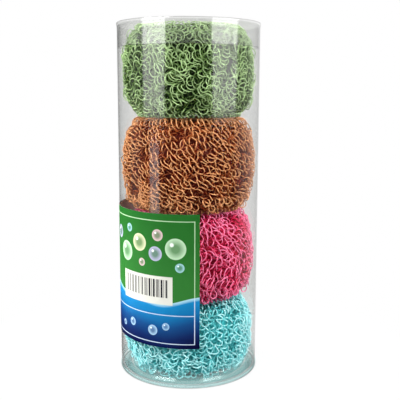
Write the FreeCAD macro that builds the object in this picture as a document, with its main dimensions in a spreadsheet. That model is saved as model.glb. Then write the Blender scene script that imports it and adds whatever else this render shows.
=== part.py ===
# Pot scrubber pack: a clear tube with two plug caps and a wrap label, holding a stack of knitted balls.
# Frame: +Z up along the tube, origin at the middle of the underside, -Y is the front. Millimetres.
import FreeCAD
import Part
import Sketcher
import math
import os

doc = FreeCAD.newDocument("ScrubberPack")
sheet = doc.addObject("Spreadsheet::Sheet", "Sizes")

# Driving dimensions: name, value, meaning
SIZES = (
    ("scrubber_dia", 82.0, "across one knitted ball"),
    ("aqua_height", 45.0, "bottom ball, pressed flat by the stack"),
    ("pink_height", 54.0, "second ball"),
    ("brown_height", 55.8, "third ball"),
    ("green_height", 53.9, "top ball"),
    ("aqua_folds", 9, "folds gathered by the tie"),
    ("pink_folds", 11, "folds gathered by the tie"),
    ("brown_folds", 10, "folds gathered by the tie"),
    ("green_folds", 8, "folds gathered by the tie"),
    ("aqua_twist_angle", 14, "degrees the folds turn from bottom to top"),
    ("pink_twist_angle", -22, "degrees the folds turn from bottom to top"),
    ("brown_twist_angle", 18, "degrees the folds turn from bottom to top"),
    ("green_twist_angle", -12, "degrees the folds turn from bottom to top"),
    ("fold_depth", 3.2, "valley between two folds"),
    ("fold_sway_angle", 7.0, "degrees that folds are uneven by"),
    ("crown_dia", 50.0, "ring on which one ball rests on the next"),
    ("gather_dia", 10.0, "throat where the tie draws the mesh in"),
    ("dimple_depth", 8.0, "throat below the crown"),
    ("tie_dia", 2.0, "thread through the ball"),
    ("tie_clearance", 0.2, "thread to mesh"),
    ("knot_dia", 6.0, "knot across"),
    ("knot_height", 4.0, "knot along the thread"),
    ("stack_gap", 0.3, "ball to ball, floor and lid"),
    ("ball_clearance", 1.6, "ball to tube"),
    ("tube_wall", 0.4, "clear sleeve"),
    ("plug_clearance", 0.15, "skirt to tube"),
    ("skirt_wall", 0.6, "both caps"),
    ("skirt_lead_in", 0.3, "taper at a skirt's free edge"),
    ("top_skirt_depth", 12.7, "skirt inside the tube"),
    ("base_skirt_depth", 6.5, "skirt inside the tube"),
    ("top_flange", 1.8, "rim that stops on the tube's end"),
    ("base_flange", 2.0, "rim that stops on the tube's end"),
    ("flange_overhang", 0.3, "rim past the tube"),
    ("lid_wall", 1.0, "top cap's disc"),
    ("lid_edge_round", 0.6, "top cap's upper edge"),
    ("floor_wall", 0.9, "base cap's disc"),
    ("foot_recess", 0.5, "underside inside the standing ring"),
    ("foot_width", 4.0, "standing ring"),
    ("foot_edge_round", 1.3, "base cap's lower edge"),
    ("floor_corner_round", 2.4, "floor to skirt, inside"),
    ("floor_rib_gap", 2.05, "rounded corner to the ring moulded on the floor"),
    ("floor_rib_width", 1.9, "ring moulded on the floor"),
    ("floor_rib_height", 1.5, "ring above the floor"),
    ("floor_rib_slope", 1.2, "how far the ring's outer side leans in"),
    ("label_base", 24.4, "label's lower edge above the ground"),
    ("label_height", 79.5, "printed sheet, up the tube"),
    ("label_thickness", 0.15, "printed sheet"),
    ("label_glue", 0.05, "glue under the sheet"),
    ("label_start_angle", 80.0, "degrees from +X to the sheet's hidden edge"),
    ("label_span_angle", 198.5, "degrees that the sheet goes round"),
)

# Shape of a ball's side: below 1 it is squarer than an ellipse
SIDE_SQUARENESS = 0.75
SIDE_STEPS = 5
DIMPLE_STEPS = 4

# Share of its wall that a rounded edge may take
ROUND_LIMIT = 0.9

# Two lengths nearer than this are the same
SAME_LENGTH = 1e-6

# Balls from the bottom of the stack to the top
COLOURS = ("aqua", "pink", "brown", "green")

for row, (alias, amount, meaning) in enumerate(SIZES, start=1):
    sheet.set(f"A{row}", meaning)
    sheet.set(f"B{row}", str(amount))
    sheet.setAlias(f"B{row}", alias)
doc.recompute()


def value(expression):
    """A length or count worked out from the sheet."""
    return float(sheet.evalExpression(expression))


# Radii and levels worked out from the driving dimensions
bore_radius = "(Sizes.scrubber_dia / 2 + Sizes.ball_clearance)"
tube_radius = f"({bore_radius} + Sizes.tube_wall)"
flange_radius = f"({tube_radius} + Sizes.flange_overhang)"
skirt_radius = f"({bore_radius} - Sizes.plug_clearance)"
skirt_inside = f"({skirt_radius} - Sizes.skirt_wall)"
skirt_tip = f"({skirt_radius} - Sizes.skirt_lead_in)"
foot_radius = f"({flange_radius} - Sizes.foot_width)"
floor_top = "(Sizes.foot_recess + Sizes.floor_wall)"
floor_rib_top = f"({floor_top} + Sizes.floor_rib_height)"
floor_rib_outside = f"({skirt_inside} - Sizes.floor_corner_round - Sizes.floor_rib_gap)"
floor_rib_crest = f"({floor_rib_outside} - Sizes.floor_rib_slope)"
floor_rib_inside = f"({floor_rib_outside} - Sizes.floor_rib_width)"
base_skirt_end = "(Sizes.base_flange + Sizes.base_skirt_depth)"

ball_base = {}
level = floor_top
for colour in COLOURS:
    ball_base[colour] = f"({level} + Sizes.stack_gap)"
    level = f"({ball_base[colour]} + Sizes.{colour}_height)"
lid_under = f"({level} + Sizes.stack_gap)"
pack_top = f"({lid_under} + Sizes.lid_wall)"
tube_end = f"({pack_top} - Sizes.top_flange)"
top_skirt_end = f"({tube_end} - Sizes.top_skirt_depth)"

sub_parts = []


def keep(part, label):
    """Name a finished sub-part."""
    part.Label = label
    sub_parts.append(part)
    return part


def turned_body(label, corners, angle="360"):
    """A body turned about Z from a closed outline of (radius, height) expressions."""
    body = doc.addObject("PartDesign::Body", f"{label}_body")
    plane = next(f for f in body.Origin.OriginFeatures if f.Role == "XZ_Plane")
    sketch = body.newObject("Sketcher::SketchObject", f"{label}_outline")
    sketch.AttachmentSupport = [(plane, "")]
    sketch.MapMode = "FlatFace"
    points = [FreeCAD.Vector(value(r), value(z), 0) for r, z in corners]
    count = len(points)
    for i in range(count):
        sketch.addGeometry(Part.LineSegment(points[i], points[(i + 1) % count]), False)
    for i in range(count):
        sketch.addConstraint(Sketcher.Constraint("Coincident", i, 2, (i + 1) % count, 1))
    for i, corner in enumerate(corners):
        for kind, expression in zip(("DistanceX", "DistanceY"), corner):
            limit = Sketcher.Constraint(kind, -1, 1, i, 1, value(expression))
            index = sketch.addConstraint(limit)
            sketch.setExpression(f"Constraints[{index}]", expression)
    turn = body.newObject("PartDesign::Revolution", f"{label}_turn")
    turn.Profile = sketch
    turn.ReferenceAxis = (sketch, ["V_Axis"])
    turn.setExpression("Angle", angle)
    body.Tip = turn
    doc.recompute()
    return keep(body, label)


def round_edge(body, radius, height, amount):
    """Round the circular edges of a body at one radius and height."""
    tip = body.Tip
    names = []
    for number, edge in enumerate(tip.Shape.Edges, start=1):
        if not isinstance(edge.Curve, Part.Circle):
            continue
        same_radius = abs(edge.Curve.Radius - value(radius)) < SAME_LENGTH
        same_height = abs(edge.Curve.Center.z - value(height)) < SAME_LENGTH
        if same_radius and same_height:
            names.append(f"Edge{number}")
    fillet = body.newObject("PartDesign::Fillet", f"{body.Label}_round")
    fillet.Base = (tip, names)
    fillet.setExpression("Radius", amount)
    body.Tip = fillet
    doc.recompute()


def make_tube():
    """Clear sleeve, open at both ends."""
    turned_body("tube", (
        (bore_radius, "Sizes.base_flange"),
        (tube_radius, "Sizes.base_flange"),
        (tube_radius, tube_end),
        (bore_radius, tube_end),
    ))


def make_base_cap():
    """Plug that closes the lower end, stands on a ring and has a rib on its floor."""
    body = turned_body("base_cap", (
        ("0", "Sizes.foot_recess"),
        (foot_radius, "Sizes.foot_recess"),
        (foot_radius, "0"),
        (flange_radius, "0"),
        (flange_radius, "Sizes.base_flange"),
        (skirt_radius, "Sizes.base_flange"),
        (skirt_radius, f"{base_skirt_end} - Sizes.skirt_lead_in"),
        (skirt_tip, base_skirt_end),
        (skirt_inside, base_skirt_end),
        (skirt_inside, floor_top),
        (floor_rib_outside, floor_top),
        (floor_rib_crest, floor_rib_top),
        (floor_rib_inside, floor_rib_top),
        (floor_rib_inside, floor_top),
        ("0", floor_top),
    ))
    outside_limit = f"{ROUND_LIMIT} * Sizes.base_flange"
    inside_limit = f"{ROUND_LIMIT} * ({base_skirt_end} - {floor_top})"
    round_edge(body, flange_radius, "0", f"min(Sizes.foot_edge_round; {outside_limit})")
    round_edge(body, skirt_inside, floor_top, f"min(Sizes.floor_corner_round; {inside_limit})")


def make_top_cap():
    """Plug that closes the upper end, with a deeper skirt."""
    body = turned_body("top_cap", (
        ("0", lid_under),
        (skirt_inside, lid_under),
        (skirt_inside, top_skirt_end),
        (skirt_tip, top_skirt_end),
        (skirt_radius, f"{top_skirt_end} + Sizes.skirt_lead_in"),
        (skirt_radius, tube_end),
        (flange_radius, tube_end),
        (flange_radius, pack_top),
        ("0", pack_top),
    ))
    edge_limit = f"{ROUND_LIMIT} * Sizes.top_flange"
    round_edge(body, flange_radius, pack_top, f"min(Sizes.lid_edge_round; {edge_limit})")


def make_label():
    """Printed sheet glued round the front and left of the tube."""
    inner = f"({tube_radius} + Sizes.label_glue)"
    outer = f"({inner} + Sizes.label_thickness)"
    upper = "Sizes.label_base + Sizes.label_height"
    body = turned_body("label", (
        (inner, "Sizes.label_base"),
        (outer, "Sizes.label_base"),
        (outer, upper),
        (inner, upper),
    ), "Sizes.label_span_angle")
    body.Placement.Rotation = FreeCAD.Rotation(FreeCAD.Vector(0, 0, 1), value("Sizes.label_start_angle"))
    body.setExpression("Placement.Rotation.Angle", "Sizes.label_start_angle")


def side_stations(half_height):
    """(radius, height above the middle, fold depth) from the widest ring in to the upper throat."""
    ball_radius = value("Sizes.scrubber_dia / 2")
    crown_radius = value("Sizes.crown_dia / 2")
    gather_radius = value("Sizes.gather_dia / 2")
    dimple = value("Sizes.dimple_depth")
    depth = value("Sizes.fold_depth")
    stations = []
    for step in range(SIDE_STEPS + 1):
        turn = math.pi / 2 * step / SIDE_STEPS
        across = max(math.cos(turn), 0.0) ** SIDE_SQUARENESS
        rise = math.sin(turn) ** SIDE_SQUARENESS
        radius = crown_radius + (ball_radius - crown_radius) * across
        stations.append((radius, half_height * rise, depth * (1 + rise) / 2))
    for step in range(1, DIMPLE_STEPS + 1):
        turn = math.pi / 2 * step / DIMPLE_STEPS
        radius = crown_radius - (crown_radius - gather_radius) * math.sin(turn)
        rise = half_height - dimple * (1 - math.cos(turn))
        stations.append((radius, rise, depth * radius / crown_radius))
    return stations


def folded_ring(radius, height, depth, folds, turn):
    """Closed wire of outward arcs, one for each fold."""
    sway = math.radians(value("Sizes.fold_sway_angle"))
    valleys = []
    for fold in range(folds + 1):
        even = 2 * math.pi * fold / folds
        valleys.append(even + sway * math.sin(2 * even) + math.radians(turn))

    def point(angle, distance):
        return FreeCAD.Vector(distance * math.cos(angle), distance * math.sin(angle), height)

    arcs = []
    for start, end in zip(valleys, valleys[1:]):
        first = point(start, radius - depth)
        crest = point((start + end) / 2, radius)
        last = point(end, radius - depth)
        arcs.append(Part.Arc(first, crest, last).toShape())
    return Part.Wire(arcs)


def make_scrubber(colour):
    """Gathered mesh ball: folds from throat to throat, dimpled at both ends, with a hole for the tie."""
    height = value(f"Sizes.{colour}_height")
    folds = round(value(f"Sizes.{colour}_folds"))
    twist = value(f"Sizes.{colour}_twist_angle")
    upper = side_stations(height / 2)
    lower = [(radius, -rise, depth) for radius, rise, depth in upper[:0:-1]]
    rings = []
    for radius, rise, depth in lower + upper:
        rings.append(folded_ring(radius, height / 2 + rise, depth, folds, twist * rise / height))
    folded = doc.addObject("Part::Feature", f"{colour}_folded_mesh")
    folded.Shape = Part.makeLoft(rings, True, False)
    hole = doc.addObject("Part::Cylinder", f"{colour}_tie_hole")
    hole.setExpression("Radius", "Sizes.tie_dia / 2 + Sizes.tie_clearance")
    hole.setExpression("Height", f"Sizes.{colour}_height")
    ball = doc.addObject("Part::Cut", f"{colour}_ball")
    ball.Base = folded
    ball.Tool = hole
    ball.setExpression("Placement.Base.z", ball_base[colour])
    keep(ball, f"{colour}_scrubber")


def make_tie(colour):
    """Thread through the ball with a knot in each dimple."""
    mesh = f"Sizes.{colour}_height"
    seat = "Sizes.dimple_depth - Sizes.tie_clearance - Sizes.knot_height / 2"
    stem = doc.addObject("Part::Cylinder", f"{colour}_thread")
    stem.setExpression("Radius", "Sizes.tie_dia / 2")
    stem.setExpression("Height", f"{mesh} - 2 * ({seat})")
    stem.setExpression("Placement.Base.z", seat)
    knots = []
    for end, middle in (("lower", seat), ("upper", f"{mesh} - ({seat})")):
        knot = doc.addObject("Part::Ellipsoid", f"{colour}_{end}_knot")
        knot.setExpression("Radius1", "Sizes.knot_height / 2")
        knot.setExpression("Radius2", "Sizes.knot_dia / 2")
        knot.setExpression("Radius3", "Sizes.knot_dia / 2")
        knot.setExpression("Placement.Base.z", middle)
        knots.append(knot)
    tie = doc.addObject("Part::MultiFuse", f"{colour}_tied_thread")
    tie.Shapes = [stem] + knots
    tie.setExpression("Placement.Base.z", ball_base[colour])
    keep(tie, f"{colour}_tie")


make_tube()
make_base_cap()
make_top_cap()
make_label()
for colour in COLOURS:
    make_scrubber(colour)
    make_tie(colour)
doc.recompute()

for item in doc.Objects:
    if "Invalid" in item.State or "Error" in item.State:
        raise RuntimeError(f"{item.Label} did not build: {item.State}")

for part in sub_parts:
    if part.Shape.isNull() or not part.Shape.isValid() or len(part.Shape.Solids) != 1:
        raise RuntimeError(f"{part.Label} is not one valid solid")

os.makedirs("parts", exist_ok=True)
for part in sub_parts:
    part.Shape.exportStep(f"parts/{part.Label}.step")
    box = part.Shape.BoundBox
    size = f"{box.XLength:.2f} x {box.YLength:.2f} x {box.ZLength:.2f}"
    print(f"{part.Label}: {size} mm, z {box.ZMin:.2f} to {box.ZMax:.2f}, {part.Shape.Volume:.0f} mm3")
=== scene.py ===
# %% [markdown]
# # Knitted pot scrubbers in a clear tube
# The real object is a shop pack: a clear plastic tube with a plug cap at each end, a printed label round
# its front, and four balls of curly knitted yarn stacked inside. The CAD frame gives every piece its
# size and place. Here each piece gets its looks: real loops of yarn, clear plastic and a printed sheet.

# %% Load the frame
import bpy
import math
import numpy as np
from mathutils import Matrix, Vector
from mathutils.bvhtree import BVHTree


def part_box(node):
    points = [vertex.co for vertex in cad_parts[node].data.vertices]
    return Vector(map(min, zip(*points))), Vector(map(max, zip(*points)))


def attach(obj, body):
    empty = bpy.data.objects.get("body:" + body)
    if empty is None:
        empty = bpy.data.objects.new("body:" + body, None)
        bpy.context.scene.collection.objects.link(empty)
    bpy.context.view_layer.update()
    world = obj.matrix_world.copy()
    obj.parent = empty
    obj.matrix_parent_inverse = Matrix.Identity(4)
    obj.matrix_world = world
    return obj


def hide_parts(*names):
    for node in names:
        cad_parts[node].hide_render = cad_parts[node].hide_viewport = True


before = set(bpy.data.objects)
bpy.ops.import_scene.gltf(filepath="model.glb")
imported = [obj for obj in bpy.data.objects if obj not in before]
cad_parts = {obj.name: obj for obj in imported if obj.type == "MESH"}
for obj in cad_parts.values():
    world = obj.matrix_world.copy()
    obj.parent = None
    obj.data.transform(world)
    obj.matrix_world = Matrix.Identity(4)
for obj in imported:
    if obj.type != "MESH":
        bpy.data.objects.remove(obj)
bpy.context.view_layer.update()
MM = 0.001
print("nodes:", sorted(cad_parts))

# %% [markdown]
# ## Camera
# The camera stands in front of the pack, a little above its middle, and looks slightly down. Its place
# was found by fitting the tube's outline, so the numbers are real lengths and angles.

# %% Camera
FRAME_PX = 400
FOCAL_PX = 675.2
CAMERA_PLACE = Vector((0.0, -417.1, 172.5)) * MM
LOOK_DOWN = math.radians(9.14)
LOOK_RIGHT = math.radians(0.98)
ROLL = math.radians(0.19)

bpy.ops.object.select_all(action="DESELECT")
bpy.ops.object.camera_add(location=CAMERA_PLACE)
camera = bpy.context.object
camera.name = "camera"
turn = Matrix.Rotation(-LOOK_RIGHT, 3, "Z") @ Matrix.Rotation(math.pi / 2 - LOOK_DOWN, 3, "X")
turn = turn @ Matrix.Rotation(ROLL, 3, "Z")
camera.rotation_euler = turn.to_euler()
camera.data.sensor_width = 36.0
camera.data.lens = FOCAL_PX / FRAME_PX * camera.data.sensor_width
camera.data.clip_start = 0.01
bpy.context.scene.camera = camera
bpy.context.scene.view_settings.view_transform = "Standard"
print("lens", round(camera.data.lens, 2), "mm")

# %% [markdown]
# ## Helpers for nodes
# Every finish below is a small tree of nodes. By hand they are placed in the shader editor; in a script the
# same few steps come back in each tree. Short helpers add a node, do sums on sockets and turn a value into a
# tone, so that the later cells read like recipes. More helpers follow where they are first needed.

# %% Node helpers


def add_node(tree, kind, **settings):
    """A new node with its settings."""
    node = tree.nodes.new(kind)
    for name, setting in settings.items():
        setattr(node, name, setting)
    return node


def feed(tree, slot, source):
    """Give an input a number, a colour or what another node puts out."""
    if isinstance(source, (int, float)):
        slot.default_value = source
    elif isinstance(source, tuple):
        slot.default_value = (*source, 1)
    else:
        tree.links.new(source, slot)


def sums(tree, operation, first, second=None, third=None):
    """A Math node on sockets or numbers; gives its output socket."""
    node = add_node(tree, "ShaderNodeMath", operation=operation)
    for slot, source in zip(node.inputs, (first, second, third)):
        if source is not None:
            feed(tree, slot, source)
    return node.outputs[0]


# %% Ramp helpers


def ranged(tree, value, low, high):
    """0 below low to 1 above high, straight between; low above high turns it round."""
    node = add_node(tree, "ShaderNodeMapRange")
    node.inputs["From Min"].default_value = low
    node.inputs["From Max"].default_value = high
    tree.links.new(value, node.inputs["Value"])
    return node.outputs["Result"]


def colour_ramp(tree, value, stops):
    """Colours by a value; stops are pairs of a place from 0 to 1 and a colour."""
    ramp = add_node(tree, "ShaderNodeValToRGB")
    marks = ramp.color_ramp.elements
    while len(marks) < len(stops):
        marks.new(0.5)
    for mark, (place, colour) in zip(marks, stops):
        mark.position = place
        mark.color = (*colour, 1)
    tree.links.new(value, ramp.inputs["Fac"])
    return ramp.outputs["Color"]


def tone_ramp(tree, value, stops):
    """Grey tones by a value; stops are pairs of value and tone."""
    first, last = stops[0][0], stops[-1][0]
    places = [((at - first) / (last - first), (tone, tone, tone)) for at, tone in stops]
    return colour_ramp(tree, ranged(tree, value, first, last), places)


# %% [markdown]
# ## Studio
# The pack stands in a white studio. A plain white world would light the yarn from all sides and wash out the
# gaps between its loops. So the world is white only where the camera looks at it, straight or through the
# clear plastic, and it lights the object weakly. A reflection sees a ring of dark and bright walls instead,
# which gives the tube its grey edges.

# %% World
# a ray that has met a mirror has a depth above this
UNMIRRORED = 0.5


def seen_straight(tree):
    """1 for a ray that the camera sends straight or through clear plastic, else 0."""
    path = add_node(tree, "ShaderNodeLightPath")
    straight = sums(tree, "MAXIMUM", path.outputs["Is Camera Ray"], path.outputs["Is Transmission Ray"])
    unmirrored = sums(tree, "LESS_THAN", path.outputs["Glossy Depth"], UNMIRRORED)
    return sums(tree, "MULTIPLY", straight, unmirrored)


def front_angle(tree, parts):
    """The angle round the upright axis in radians, from 0 at the front to the right."""
    forward = sums(tree, "MULTIPLY", parts.outputs["Y"], -1)
    return sums(tree, "ARCTAN2", parts.outputs["X"], forward)


# degrees from the front, tone
STUDIO_RING = (
    (-180, 0.40), (-160, 0.05), (-112, 0.05), (-100, 0.35), (-86, 0.35), (-76, 0.03),
    (76, 0.03), (86, 0.35), (118, 0.70), (160, 0.75), (180, 0.40),
)


def studio_ring(tree, parts):
    """What a reflection sees all round, by the angle from the front: dark room, bright sides, backdrop."""
    return tone_ramp(tree, sums(tree, "DEGREES", front_angle(tree, parts)), STUDIO_RING)


WORLD_LIGHT = 0.08
world = bpy.data.worlds.new("studio")
bpy.context.scene.world = world
world.use_nodes = True
tree = world.node_tree
tree.nodes.clear()
sight = add_node(tree, "ShaderNodeTexCoord")
parts = add_node(tree, "ShaderNodeSeparateXYZ")
tree.links.new(sight.outputs["Generated"], parts.inputs[0])
path = add_node(tree, "ShaderNodeLightPath")
lighting = sums(tree, "MULTIPLY", path.outputs["Is Diffuse Ray"], WORLD_LIGHT)
mirrored = sums(tree, "SUBTRACT", 1, path.outputs["Is Diffuse Ray"])
mirrored = sums(tree, "MULTIPLY", mirrored, studio_ring(tree, parts))
unseen = sums(tree, "ADD", lighting, mirrored)
strength = sums(tree, "MAXIMUM", seen_straight(tree), unseen)
background = add_node(tree, "ShaderNodeBackground")
background.inputs["Color"].default_value = (1, 1, 1, 1)
tree.links.new(strength, background.inputs["Strength"])
output = add_node(tree, "ShaderNodeOutputWorld")
tree.links.new(background.outputs[0], output.inputs[0])
print("world light:", WORLD_LIGHT)

# %% [markdown]
# ## Lamps
# Clear plastic shows by what it mirrors. Tall lamps left and right make the pale bands on the tube, and two
# high ones the arcs on its base; they show only in the gloss. The key lamps light the yarn and the label,
# and no reflection shows them. With one set of lamps for both jobs, no band could be moved without changing
# the light on the yarn.

# %% Lamps
MIDDLE = Vector((0, 0, 105)) * MM


def soft_box(name, azimuth, distance, height, width, tall, watts):
    """An area lamp that faces the middle of the pack."""
    angle = math.radians(azimuth)
    place = Vector((distance * math.sin(angle), -distance * math.cos(angle), height))
    bpy.ops.object.light_add(type="AREA", location=place)
    lamp = bpy.context.object
    lamp.name = name
    lamp.data.shape = "RECTANGLE"
    lamp.data.size = width
    lamp.data.size_y = tall
    lamp.data.energy = watts
    lamp.rotation_euler = (MIDDLE - place).to_track_quat("-Z", "Y").to_euler()
    return lamp


def band_box(*place):
    """A lamp that shows only as a pale band in the gloss of the plastic."""
    soft_box(*place).visible_diffuse = False


def key_box(*place):
    """A lamp that lights the yarn and the label but shows in no reflection."""
    lamp = soft_box(*place)
    lamp.visible_glossy = False
    lamp.visible_transmission = False


# name, degrees from the front, distance, height, width and tallness in metres, watts
BANDS = (
    ("left_band", -54.8, 0.48, 0.41, 0.403, 0.64, 1.75),
    ("left_band_soft", -56, 0.48, 0.41, 0.427, 0.64, 1.50),
    ("right_band", 57, 0.48, 0.41, 0.468, 0.64, 1.75),
    ("right_band_soft", 58, 0.48, 0.41, 0.489, 0.64, 1.65),
    ("left_low_band", -54, 0.50, 0.05, 0.14, 0.12, 0.11),
    ("left_arc", -55, 0.42, 0.445, 0.32, 0.16, 1.4),
    ("right_arc", 55, 0.42, 0.445, 0.32, 0.16, 1.4),
)
KEYS = (
    ("left_key", -75, 0.8, 0.30, 0.5, 0.5, 6.2),
    ("right_key", 75, 0.8, 0.30, 0.5, 0.5, 4.9),
    ("top_key", 0, 0.45, 0.85, 0.6, 0.4, 4.2),
    ("left_rim_key", -118, 0.8, 0.25, 0.4, 0.5, 8.5),
    ("right_rim_key", 118, 0.8, 0.25, 0.4, 0.5, 4.8),
    ("back_key", 180, 0.9, 0.40, 0.6, 0.5, 3.0),
)
for band in BANDS:
    band_box(*band)
for key in KEYS:
    key_box(*key)
print("lamps:", len(BANDS), "bands and", len(KEYS), "keys")

# %% [markdown]
# ## Floor
# The pack stands on white paper. Lit paper turns white only under more light than the yarn can take. So most
# of what the camera sees of it is a set tone: white all round, and darker under the base as a painted
# shadow, where the real paper gets little light. A small share stays lit paper and keeps the object's
# shadow.

# %% Material helpers


def new_material(name):
    """An empty node material and its tree."""
    material = bpy.data.materials.new(name)
    material.use_nodes = True
    material.node_tree.nodes.clear()
    return material, material.node_tree


def object_place(tree):
    """The place of a point on its piece, and a node that puts out its three parts."""
    place = add_node(tree, "ShaderNodeTexCoord").outputs["Object"]
    parts = add_node(tree, "ShaderNodeSeparateXYZ")
    tree.links.new(place, parts.inputs[0])
    return place, parts


def mix_shaders(tree, share, first, second):
    """Two shaders in one: a share of 0 gives the first, 1 the second."""
    mix = add_node(tree, "ShaderNodeMixShader")
    tree.links.new(share, mix.inputs[0])
    tree.links.new(first.outputs[0], mix.inputs[1])
    tree.links.new(second.outputs[0], mix.inputs[2])
    return mix


def show(tree, shader):
    """End a material's tree in a shader."""
    output = add_node(tree, "ShaderNodeOutputMaterial")
    tree.links.new(shader.outputs[0], output.inputs[0])


# %% Floor
FLOOR_SIZE = 6.0
FLOOR_COLOUR = (0.9, 0.9, 0.9)
# millimetres from the middle, share of lit paper
FLOOR_SHARE = ((0, 0.12), (60, 0.12), (160, 0.0))
# millimetres from the middle, tone; the low tones under the base are a painted shadow
FLOOR_TONES_AND_SHADOW = (
    (0, 0.20), (24, 0.25), (28, 0.52), (32, 0.72), (36, 0.78), (39, 0.55), (42, 0.32), (42.7, 0.32),
    (43.4, 1.0), (140, 1.0),
)
bpy.ops.mesh.primitive_plane_add(size=FLOOR_SIZE, location=(0, 0, 0))
floor = bpy.context.object
floor.name = "floor"
pale_floor, tree = new_material("pale_floor")
place, parts = object_place(tree)
away = add_node(tree, "ShaderNodeVectorMath", operation="LENGTH")
tree.links.new(place, away.inputs[0])
from_middle = sums(tree, "MULTIPLY", away.outputs["Value"], 1 / MM)
tone = tone_ramp(tree, from_middle, FLOOR_TONES_AND_SHADOW)
set_share = sums(tree, "SUBTRACT", 1, tone_ramp(tree, from_middle, FLOOR_SHARE))
seen = sums(tree, "MULTIPLY", seen_straight(tree), set_share)
path = add_node(tree, "ShaderNodeLightPath")
mirrored = sums(tree, "GREATER_THAN", path.outputs["Glossy Depth"], UNMIRRORED)
ring = sums(tree, "MULTIPLY", mirrored, sums(tree, "SUBTRACT", studio_ring(tree, parts), tone))
set_tone = add_node(tree, "ShaderNodeEmission")
tree.links.new(sums(tree, "ADD", ring, tone), set_tone.inputs["Strength"])
lit_paper = add_node(tree, "ShaderNodeBsdfDiffuse")
lit_paper.inputs["Color"].default_value = (*FLOOR_COLOUR, 1)
show(tree, mix_shaders(tree, sums(tree, "MAXIMUM", seen, mirrored), lit_paper, set_tone))
floor.data.materials.append(pale_floor)
print("floor:", FLOOR_SIZE, "m wide")

# %% [markdown]
# ## Clear plastic
# The tube and both caps are clear sheet, well under a millimetre thick. Glass that bends light would make
# such thin walls look like solid rods. So sight goes straight on through the sheet, with a tint, and a coat
# layer gives the gloss. Faces seen from behind, and the light of the lamps, pass a transparent shader, so
# that a wall mirrors once and the yarn inside is lit. Faint clouds and scuffs come from a node group. The
# lid's top band and slanting edges are tinted darker, a painted dark line. The base's teal tint and its
# darker low band are painted light and shade from the aqua ball and its shadow.

# %% Node groups


def node_group(name, inputs, outputs):
    """A shader node group of values with named inputs and outputs; gives its tree and its two ends."""
    group = bpy.data.node_groups.new(name, "ShaderNodeTree")
    for label, start in inputs.items():
        socket = group.interface.new_socket(label, in_out="INPUT", socket_type="NodeSocketFloat")
        socket.default_value = start
    for label in outputs:
        group.interface.new_socket(label, in_out="OUTPUT", socket_type="NodeSocketFloat")
    return group, add_node(group, "NodeGroupInput"), add_node(group, "NodeGroupOutput")


def noise(tree, place, size, detail):
    """Noise over a place; a larger size value gives finer noise."""
    node = add_node(tree, "ShaderNodeTexNoise")
    node.inputs["Detail"].default_value = detail
    tree.links.new(place, node.inputs["Vector"])
    feed(tree, node.inputs["Scale"], size)
    return node.outputs["Fac"]


def group_noise(group, size, detail, stretch=1.0):
    """Noise on Object coordinates inside a group; size is a socket, stretch draws it out upwards."""
    place = add_node(group, "ShaderNodeTexCoord")
    drawn = add_node(group, "ShaderNodeMapping")
    drawn.inputs["Scale"].default_value = (1, 1, 1 / stretch)
    group.links.new(place.outputs["Object"], drawn.inputs["Vector"])
    return noise(group, drawn.outputs["Vector"], size, detail)


# %% Wear of clear sheet
WEAR_SIZES = {"Cloud Size": 30, "Haze": 0.1, "Scuff Size": 260}
CLOUD_STRETCH = 3
SCUFF_STRETCH = 12
SCUFFED = (0.58, 0.75)
SCUFF_DULLS = 0.35
sheet_wear, ins, outs = node_group("sheet_wear", WEAR_SIZES, ("Haze", "Gloss"))
cloud = group_noise(sheet_wear, ins.outputs["Cloud Size"], 4, CLOUD_STRETCH)
scuff = group_noise(sheet_wear, ins.outputs["Scuff Size"], 3, SCUFF_STRETCH)
sheet_wear.links.new(sums(sheet_wear, "MULTIPLY", cloud, ins.outputs["Haze"]), outs.inputs["Haze"])
marks = ranged(sheet_wear, scuff, *SCUFFED)
sheet_wear.links.new(sums(sheet_wear, "MULTIPLY_ADD", marks, -SCUFF_DULLS, 1), outs.inputs["Gloss"])
print("sheet_wear nodes:", len(sheet_wear.nodes))

# %% Colour helpers


def within(tree, value, low, high, soft):
    """1 between two values, with a soft edge."""
    above = ranged(tree, value, low - soft, low + soft)
    below = ranged(tree, value, high + soft, high - soft)
    return sums(tree, "MULTIPLY", above, below)


def mixed(tree, factor, under, over):
    """One colour laid over another by a mask; colours are sockets or written values."""
    node = add_node(tree, "ShaderNodeMix", data_type="RGBA")
    for slot, source in (("Factor", factor), ("A", under), ("B", over)):
        feed(tree, node.inputs[slot], source)
    return node.outputs["Result"]


# %% Clear plastic
HAZE_TINT = (0.7, 0.71, 0.7)
# how far a face looks up, -1 to 1: where the gloss sets in, and between what a face counts as slanting;
# slanting faces take a painted dark line
UNDERSIDE = (-0.95, -0.5)
SLANTING = (0.15, 0.9)
SLANT_SOFT = 0.05


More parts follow.
